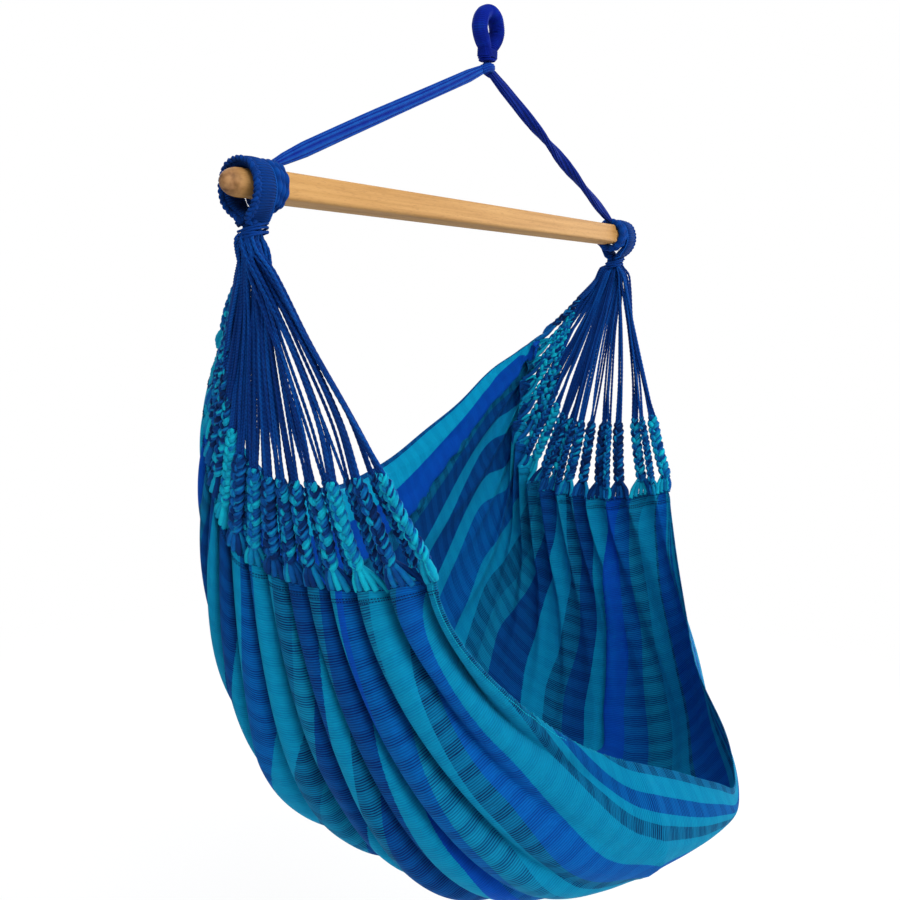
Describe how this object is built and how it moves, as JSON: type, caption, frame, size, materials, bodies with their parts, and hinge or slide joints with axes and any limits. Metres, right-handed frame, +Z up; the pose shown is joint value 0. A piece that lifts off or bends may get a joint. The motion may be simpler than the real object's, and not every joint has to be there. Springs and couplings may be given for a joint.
{
  "type": "hammock chair",
  "caption": "Hanging hammock chair with a striped cloth seat, braided cords, a wooden spreader bar and a hanging eye.",
  "frame": {"origin": "top inside the hanging eye, where the hook bears", "axes": "+X along the spreader bar, the sitter faces -Y, +Z up"},
  "size_m": [1.12, 0.7871, 1.3623],
  "materials": {
    "beech_wood": "satin",
    "cobalt_cord": "matte",
    "turquoise_cord": "matte",
    "seat_cloth": "matte"
  },
  "bodies": {
    "hanger": {"hanging_eye": "cobalt_cord", "hanging_eye_binding": "cobalt_cord"},
    "turning_collar": {"rope_collar": "cobalt_cord"},
    "swaying_knot": {"rope_knot": "cobalt_cord"},
    "rope_pair": {"suspension_loop_left": "cobalt_cord", "suspension_loop_right": "cobalt_cord", "suspension_rope_left": "cobalt_cord", "suspension_rope_right": "cobalt_cord"},
    "bar": {"spreader_bar": "beech_wood"},
    "seat": {"braid_left_01": "turquoise_cord", "braid_left_02": "turquoise_cord", "braid_left_03": "turquoise_cord", "braid_left_04": "turquoise_cord", "braid_left_05": "turquoise_cord", "braid_left_06": "turquoise_cord", "braid_left_07": "turquoise_cord", "braid_left_08": "turquoise_cord", "braid_left_09": "turquoise_cord", "braid_left_10": "turquoise_cord", "braid_left_11": "turquoise_cord", "braid_left_12": "turquoise_cord", "braid_left_13": "turquoise_cord", "braid_left_14": "turquoise_cord", "braid_left_15": "turquoise_cord", "braid_left_16": "turquoise_cord", "braid_right_01": "turquoise_cord", "braid_right_02": "turquoise_cord", "braid_right_03": "turquoise_cord", "braid_right_04": "turquoise_cord", "braid_right_05": "turquoise_cord", "braid_right_06": "turquoise_cord", "braid_right_07": "turquoise_cord", "braid_right_08": "turquoise_cord", "braid_right_09": "turquoise_cord", "braid_right_10": "turquoise_cord", "braid_right_11": "turquoise_cord", "braid_right_12": "turquoise_cord", "braid_right_13": "turquoise_cord", "braid_right_14": "turquoise_cord", "braid_right_15": "turquoise_cord", "braid_right_16": "turquoise_cord", "cord_binding_left": "cobalt_cord", "cord_binding_right": "cobalt_cord", "seat_cloth": "seat_cloth", "sling_cords_left": "cobalt_cord", "sling_cords_right": "cobalt_cord", "sling_eye_left": "cobalt_cord", "sling_eye_right": "cobalt_cord", "sling_eye_twine_left": "cobalt_cord", "sling_eye_twine_right": "cobalt_cord"}
  },
  "joints": [
    {"name": "chair_turn", "type": "hinge", "parent": "hanger", "child": "turning_collar", "pos_m": [0, 0, -0.0741], "axis": [0, 0, 1], "range_deg": [-180, 180]},
    {"name": "chair_sway", "type": "hinge", "parent": "turning_collar", "child": "swaying_knot", "pos_m": [0, 0, -0.0741], "axis": [0, 1, 0], "range_deg": [-15, 15]},
    {"name": "chair_swing", "type": "hinge", "parent": "swaying_knot", "child": "rope_pair", "pos_m": [0, 0, -0.0741], "axis": [1, 0, 0], "range_deg": [-35, 35]},
    {"name": "bar_roll", "type": "hinge", "parent": "rope_pair", "child": "bar", "pos_m": [0, 0, -0.306], "axis": [1, 0, 0], "range_deg": [-30, 30]},
    {"name": "seat_tilt", "type": "hinge", "parent": "bar", "child": "seat", "pos_m": [0, 0, -0.306], "axis": [1, 0, 0], "range_deg": [-25, 25]}
  ]
}
